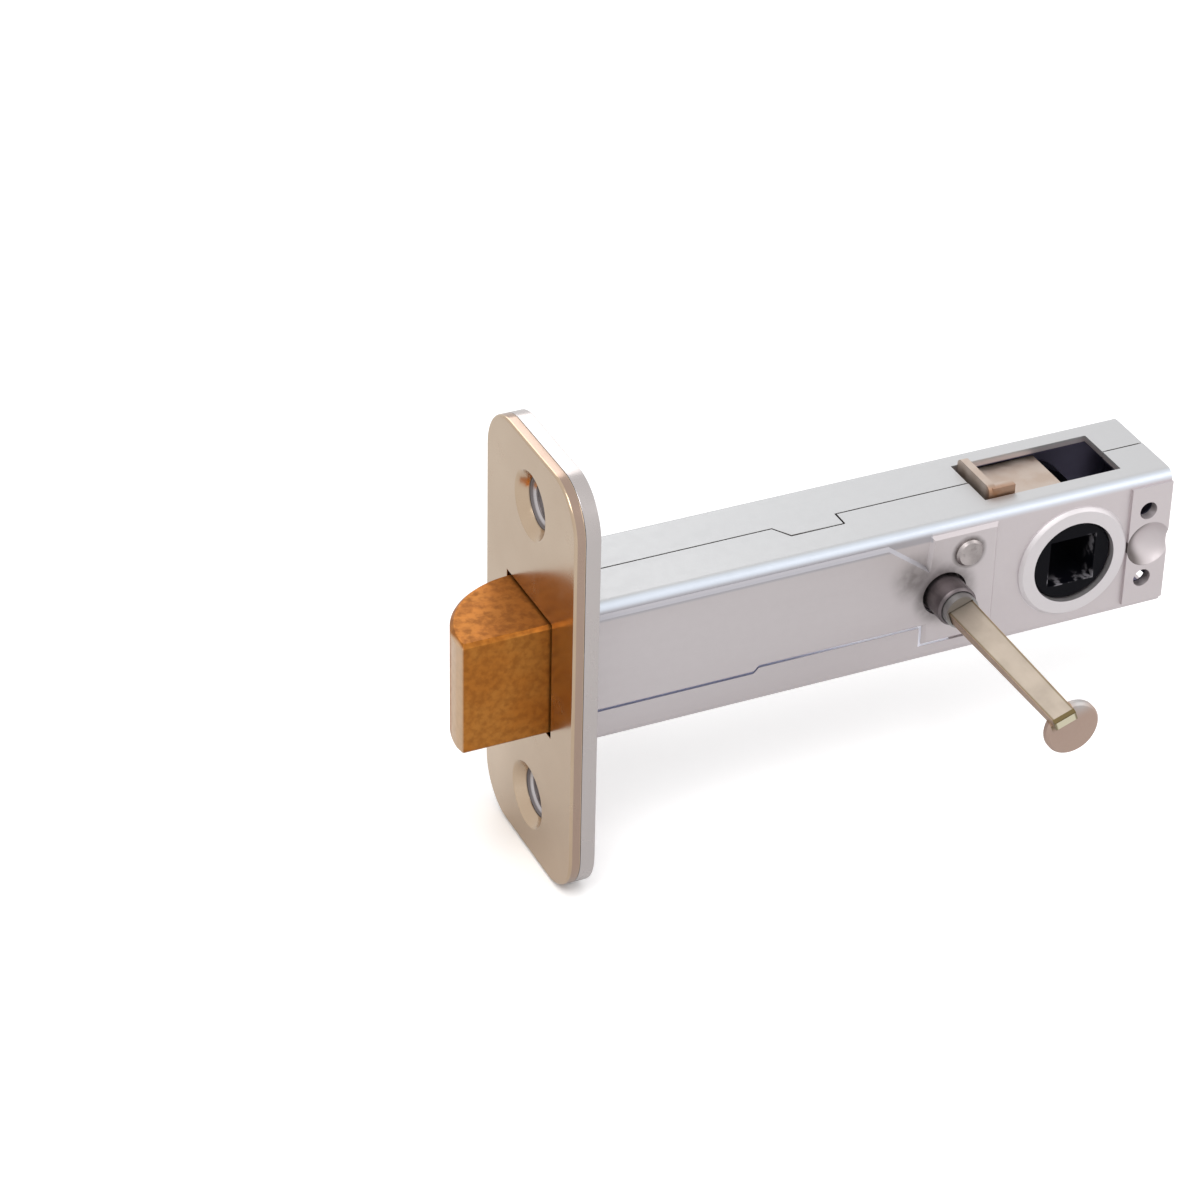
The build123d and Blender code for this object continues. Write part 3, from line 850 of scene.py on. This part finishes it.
@dataclass(frozen=True)
class RetractorStrip:
    """Cold-rolled strip with a tan film, orange-brown at the sheared near end of its lip."""

    name: str
    tan: Colour = (0.466, 0.371, 0.308)
    pale: Colour = (0.521, 0.442, 0.387)
    orange_end: Colour = (0.316, 0.134, 0.047)
    film: Patch = Patch(2.8 * MM, 5.0, 0.35, 0.65)
    rolled: Grain = Grain(0.35 * MM, 0.008 * MM, pattern=Pattern.ROLLED_X)
    lip_y: Fade = (-2.9 * MM, -4.0 * MM)
    lip_z: Fade = (8.25 * MM, 8.9 * MM)
    orange_least: float = 0.55
    rough_shares: tuple[float, ...] = (0.40, 0.12, 0.06)
    metallic: float = 0.85

    def material(self) -> bpy.types.Material:
        """Builds the material.

        Returns:
            The material.
        """
        surface = Surface(self.name)
        film, rolled = self.film.on(surface), self.rolled.on(surface)
        lip = surface.z.fade(*self.lip_z) * surface.y.fade(*self.lip_y)
        tone = surface.mix(film, self.tan, self.pale)
        orange_end = lip * (self.orange_least + (1.0 - self.orange_least) * film)
        colour = surface.mix(orange_end, tone, self.orange_end)
        rough = surface.rough(self.rough_shares, film, rolled)
        return surface.finish(colour, rough, surface.bump(rolled, self.rolled.depth), Metallic=self.metallic)


Finish = Union[SheetMetal, CasePlating, PlateMetal, BoltPatina, MouldedPlastic, PinBronze, RetractorStrip]

FINE_GRAIN = Grain(0.35 * MM, 0.006 * MM)
NICKEL = PlateMetal(
    "satin_nickel_finish", light=(0.545, 0.423, 0.309), dark=(0.488, 0.366, 0.258),
    # hole is painted shade in the screw holes, cut is painted shade on the faces that don't face forward
    hole=Tint((0.172, 0.136, 0.115), 0.85), cut=Tint((0.359, 0.258, 0.215), 0.8),
    lower=Tint((0.700, 0.560, 0.425), 0.7), roughness=0.17,
)
PLATE_ZINC = PlateMetal(
    "plate_zinc_finish", light=(0.520, 0.492, 0.492), dark=(0.452, 0.417, 0.424),
    # hole is painted shade in the screw holes, cut is painted shade on the faces that don't face forward
    hole=Tint((0.137, 0.116, 0.116), 0.85), cut=Tint((0.506, 0.465, 0.452), 0.8),
    lower=Tint((0.520, 0.492, 0.492), 0.7), roughness=0.22,
)
CASE_ZINC = CasePlating("case_zinc_finish")
RAW_STEEL = SheetMetal(
    "raw_steel_finish", light=(0.342, 0.334, 0.327), dark=(0.223, 0.216, 0.216),
    grain=Grain(0.35 * MM, 0.006 * MM, pattern=Pattern.ROLLED_X), roughness=0.32,
)
SPRING_STEEL = SheetMetal(
    "spring_steel_finish", light=(0.312, 0.320, 0.342), dark=(0.193, 0.193, 0.216), grain=FINE_GRAIN,
    roughness=0.24, cloud=4 * MM,
)
SLEEVE_STEEL = SheetMetal(
    "sleeve_finish", light=(0.198, 0.170, 0.175), dark=(0.116, 0.099, 0.103),
    grain=Grain(0.35 * MM, 0.006 * MM, pattern=Pattern.DRAWN_Y), roughness=0.34, cloud=3 * MM,
)
RIVET_STEEL = SheetMetal(
    "rivet_finish", light=(0.480, 0.435, 0.430), dark=(0.330, 0.295, 0.290), grain=FINE_GRAIN,
    roughness=0.26, cloud=2.5 * MM,
)
BRASS = BoltPatina("bolt_patina")
PLASTIC = MouldedPlastic("hub_plastic")
BRONZE = PinBronze("pin_bronze_finish")
STRIP = RetractorStrip("retractor_finish")


class HeldEnd(Enum):
    """Which end of a spring stays where it is on the body that carries it."""

    FRONT = 0
    BACK = 1


@dataclass(frozen=True)
class Coil:
    """A compression spring of round wire, with its joint, travel and held end listed."""

    node: str
    turns: int
    wire: float
    joint: str
    travel: float
    held: HeldEnd
    facets: int = 10
    steps_a_turn: int = 24


@dataclass
class SubAssembly:
    """The ways in which every sub-assembly builds and dresses its pieces."""

    shelf: Shelf
    title: str = "latch"
    made: list[str] = field(default_factory=list)
    sharp: float = radians(32)
    level: float = radians(0.6)
    weld: float = 0.002 * MM
    facets: int = 2
    even_weight: int = 80

    def dress(self, piece: bpy.types.Object, finish: Finish) -> None:
        """Gives a piece its finish.

        Args:
            piece: The finished piece.
            finish: Its finish, made once and kept on the shelf.
        """
        if finish.name not in self.shelf:
            self.shelf[finish.name] = finish.material()
        piece.data.materials.clear()
        piece.data.materials.append(self.shelf[finish.name])
        self.made.append(piece.name)

    def plain(self, node: str, finish: Finish) -> None:
        """Dresses a frame node in its own shape."""
        self.dress(frame["nodes"][node], finish)

    def stand_in(self, shape: bmesh.types.BMesh, node: str, name: str) -> bpy.types.Object:
        """Turns a shape into a piece that rides where a frame node does and stands for it.

        Args:
            shape: The shape, freed here.
            node: The frame node.
            name: The piece's name.

        Returns:
            The piece.
        """
        mesh = bpy.data.meshes.new(name)
        shape.to_mesh(mesh)
        shape.free()
        piece = bpy.data.objects.new(name, mesh)
        bpy.context.scene.collection.objects.link(piece)
        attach(piece, frame["nodes"][node]["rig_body"])
        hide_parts(node)
        slots = frame["record"]["subparts"]
        next(s["material_slot"] for s in slots if s["node"] == node)
        return piece

    def soften(self, node: str, radius: float, finish: Finish) -> None:
        """Builds and dresses a copy of a frame node with its sharp edges broken, as deburred metal has them.

        Args:
            node: The frame node.
            radius: Width of the broken edge, in metres.
            finish: The piece's finish.
        """
        shape = bmesh.new()
        shape.from_mesh(frame["nodes"][node].data)
        bmesh.ops.remove_doubles(shape, verts=shape.verts[:], dist=self.weld)
        bmesh.ops.dissolve_limit(shape, angle_limit=self.level, verts=shape.verts[:], edges=shape.edges[:],
                                 use_dissolve_boundaries=False)
        sharp = [e for e in shape.edges if len(e.link_faces) == 2 and e.calc_face_angle(0.0) > self.sharp]
        bmesh.ops.bevel(shape, geom=sharp, offset=radius, offset_type="OFFSET", affect="EDGES",
                        segments=self.facets, profile=0.5, material=-1, clamp_overlap=True)
        for face in shape.faces:
            face.smooth = True
        for edge in shape.edges:
            edge.smooth = len(edge.link_faces) != 2 or edge.calc_face_angle(0.0) < self.sharp
        piece = self.stand_in(shape, node, node + "_skin")
        even = piece.modifiers.new("even_shading", "WEIGHTED_NORMAL")
        even.mode = "FACE_AREA"
        even.weight = self.even_weight
        even.keep_sharp = True
        self.dress(piece, finish)

    def wind(self, coil: Coil, finish: Finish) -> None:
        """Winds a spring in its frame node's place and dresses it.

        Args:
            coil: The spring.
            finish: The piece's finish.
        """
        corners = [vertex.co for vertex in frame["nodes"][coil.node].data.vertices]
        low = Vector(tuple(min(c[i] for c in corners) for i in range(3)))
        high = Vector(tuple(max(c[i] for c in corners) for i in range(3)))
        middle = (low + high) / 2
        radius = (high.y - low.y - coil.wire) / 2
        start = Vector((low.x + coil.wire / 2, middle.y, middle.z))
        steps = coil.turns * coil.steps_a_turn
        rise = (high.x - low.x - coil.wire) / steps
        shape = bmesh.new()
        bmesh.ops.create_circle(shape, segments=coil.facets, radius=coil.wire / 2,
                                matrix=Matrix.Translation(start + Vector((0.0, radius, 0.0))))
        bmesh.ops.spin(shape, geom=shape.verts[:] + shape.edges[:], cent=start, axis=(1.0, 0.0, 0.0),
                       dvec=(rise, 0.0, 0.0), angle=tau * coil.turns, steps=steps)
        bmesh.ops.holes_fill(shape, edges=[e for e in shape.edges if e.is_boundary], sides=coil.facets)
        bmesh.ops.recalc_face_normals(shape, faces=shape.faces[:])
        for face in shape.faces:
            face.smooth = len(face.verts) == 4
        piece = self.stand_in(shape, coil.node, coil.node + "_coil")
        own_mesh(piece)
        self.dress(piece, finish)


@dataclass
class Faceplate(SubAssembly):
    """The two layers of the faceplate."""

    title: str = "faceplate"
    front_edge: float = 0.12 * MM
    back_edge: float = 0.10 * MM

    def build(self) -> list[str]:
        """Builds both layers.

        Returns:
            The names of the finished pieces.
        """
        self.soften("front_plate", self.front_edge, NICKEL)
        self.soften("backing_plate", self.back_edge, PLATE_ZINC)
        return self.made


@dataclass
class Case(SubAssembly):
    """The two folded shells and their rivet."""

    title: str = "case"
    shell_edge: float = 0.10 * MM

    def build(self) -> list[str]:
        """Builds the shells and dresses the rivet.

        Returns:
            The names of the finished pieces.
        """
        for shell in ("near_shell", "far_shell"):
            self.soften(shell, self.shell_edge, CASE_ZINC)
        self.plain("case_rivet", RIVET_STEEL)
        return self.made


@dataclass
class Bolt(SubAssembly):
    """The bolt, its tail, their cross pin and the spring that throws them."""

    title: str = "bolt"
    bolt_edge: float = 0.12 * MM
    tail_edge: float = 0.08 * MM
    spring: Coil = Coil("bolt_spring", 7, 0.9 * MM, "bolt_slide", STROKE, HeldEnd.BACK)

    def build(self) -> list[str]:
        """Builds and dresses the four pieces.

        Returns:
            The names of the finished pieces.
        """
        self.soften("latch_bolt", self.bolt_edge, BRASS)
        self.soften("bolt_tail", self.tail_edge, RAW_STEEL)
        self.plain("tail_pin", RAW_STEEL)
        self.wind(self.spring, SPRING_STEEL)
        return self.made


@dataclass
class Drive(SubAssembly):
    """The hub, the retractor, and the spring between the retractor and its anchor."""

    title: str = "drive"
    hub_edge: float = 0.12 * MM
    strip_edge: float = 0.08 * MM
    spring: Coil = Coil("return_spring", 8, 0.6 * MM, "retractor_slide", STROKE, HeldEnd.BACK)

    def build(self) -> list[str]:
        """Builds and dresses the four pieces.

        Returns:
            The names of the finished pieces.
        """
        self.soften("hub", self.hub_edge, PLASTIC)
        self.soften("retractor", self.strip_edge, STRIP)
        self.wind(self.spring, SPRING_STEEL)
        self.plain("spring_anchor", RAW_STEEL)
        return self.made


@dataclass
class Lock(SubAssembly):
    """The privacy pin, its plunger and sleeve, and the ring that holds the plunger."""

    title: str = "lock"
    edge: float = 0.08 * MM

    def build(self) -> list[str]:
        """Builds and dresses the four pieces.

        Returns:
            The names of the finished pieces.
        """
        self.soften("pin_sleeve", self.edge, SLEEVE_STEEL)
        self.plain("lock_plunger", RAW_STEEL)
        self.soften("privacy_pin", self.edge, BRONZE)
        self.plain("detent_ring", SPRING_STEEL)
        return self.made


@dataclass(frozen=True)
class Lamp:
    """A square soft lamp that faces the latch: its place and side in metres, its power in watts."""

    name: str
    place: Point
    side: float
    power: float

    def build(self) -> None:
        """Adds the lamp."""
        data = bpy.data.lights.new(self.name, "AREA")
        data.size = self.side
        data.energy = self.power
        lamp = bpy.data.objects.new(self.name, data)
        lamp.location = self.place
        lamp.rotation_euler = Vector(self.place).to_track_quat("Z", "Y").to_euler()
        bpy.context.scene.collection.objects.link(lamp)


@dataclass(frozen=True)
class Studio:
    """The camera at the photograph's angle, a pale floor and soft lamps."""

    azimuth: float = -24.17
    elevation: float = 33.37
    roll: float = 0.645
    distance: float = 469.5 * MM
    target: Point = (-1.79 * MM, 0.84 * MM, 5.42 * MM)
    focal: float = 92.48 * 1.29
    sensor: float = 36.0
    clip: tuple[float, float] = (0.01, 20.0)
    shift: tuple[float, float] = (0.052, 0.0077)
    floor_drop: float = 0.2 * MM
    floor_half: float = 0.5
    paper: float = 1.30
    mirror: float = 0.90
    felt: float = 0.70
    surround: float = 0.62
    lamps: tuple[Lamp, ...] = (
        Lamp("key", (-0.25, -0.35, 0.75), 0.5, 3.0),
        Lamp("fill", (0.65, -0.45, 0.35), 0.5, 1.2),
        Lamp("rim", (0.10, 0.60, 0.45), 0.4, 1.0),
    )

    def camera(self) -> None:
        """Places the camera, aimed by azimuth and elevation."""
        az, el = radians(self.azimuth), radians(self.elevation)
        back = Vector((sin(az) * cos(el), -cos(az) * cos(el), sin(el)))
        data = bpy.data.cameras.new("view")
        data.lens = self.focal
        data.sensor_width = self.sensor
        data.sensor_fit = "HORIZONTAL"
        data.clip_start, data.clip_end = self.clip
        data.shift_x, data.shift_y = self.shift
        eye = bpy.data.objects.new("view", data)
        turn = back.to_track_quat("Z", "Y").to_matrix().to_4x4() @ Matrix.Rotation(radians(self.roll), 4, "Z")
        eye.matrix_world = Matrix.Translation(Vector(self.target) + back * self.distance) @ turn
        bpy.context.scene.collection.objects.link(eye)
        bpy.context.scene.camera = eye

    def floor(self) -> None:
        """Lays a wide pale floor just under the faceplate; the camera sees it as white."""
        shape = bmesh.new()
        bmesh.ops.create_grid(shape, x_segments=1, y_segments=1, size=self.floor_half)
        bmesh.ops.translate(shape, verts=shape.verts[:], vec=(0.0, 0.0, CAD_BOX[0][2] - self.floor_drop))
        mesh = bpy.data.meshes.new("floor")
        shape.to_mesh(mesh)
        shape.free()
        ground = bpy.data.objects.new("floor", mesh)
        bpy.context.scene.collection.objects.link(ground)
        surface = Surface("floor_paper")
        lit = surface.mix(surface.rays("Glossy", "Transmission"), (self.felt,) * 3, (self.mirror,) * 3)
        pale = surface.mix(surface.rays("Camera"), lit, (self.paper,) * 3)
        surface.close("ShaderNodeOutputMaterial", surface.node("ShaderNodeBsdfDiffuse", {}, {"Color": pale}))
        ground.data.materials.append(surface.material)

    def world(self) -> None:
        """Sets an even pale surround, white to the camera and to reflections."""
        world = bpy.data.worlds.new("surround")
        world.use_nodes = True
        bpy.context.scene.world = world
        graph = Graph(world.node_tree)
        seen = {"Factor": graph.rays("Camera", "Transmission", "Glossy"), "A": self.surround, "B": 1.0}
        strength = graph.node("ShaderNodeMix", {"data_type": "FLOAT"}, seen)
        light = graph.node("ShaderNodeBackground", {}, {"Color": (1.0, 1.0, 1.0), "Strength": strength})
        graph.close("ShaderNodeOutputWorld", light)

    def build(self) -> None:
        """Sets up the whole studio."""
        self.camera()
        self.floor()
        self.world()
        for lamp in self.lamps:
            lamp.build()
        bpy.context.scene.view_settings.view_transform = "Standard"


def main() -> None:
    """Builds the studio and every sub-assembly, and reports each piece."""
    logging.basicConfig(level=logging.INFO, format="%(name)s %(message)s")
    Studio().build()
    shelf: Shelf = {}
    for group in (Faceplate(shelf), Case(shelf), Bolt(shelf), Drive(shelf), Lock(shelf)):
        for name in group.build():
            LOG.info("%s: %s", group.title, name)


if __name__ == "__main__":
    main()
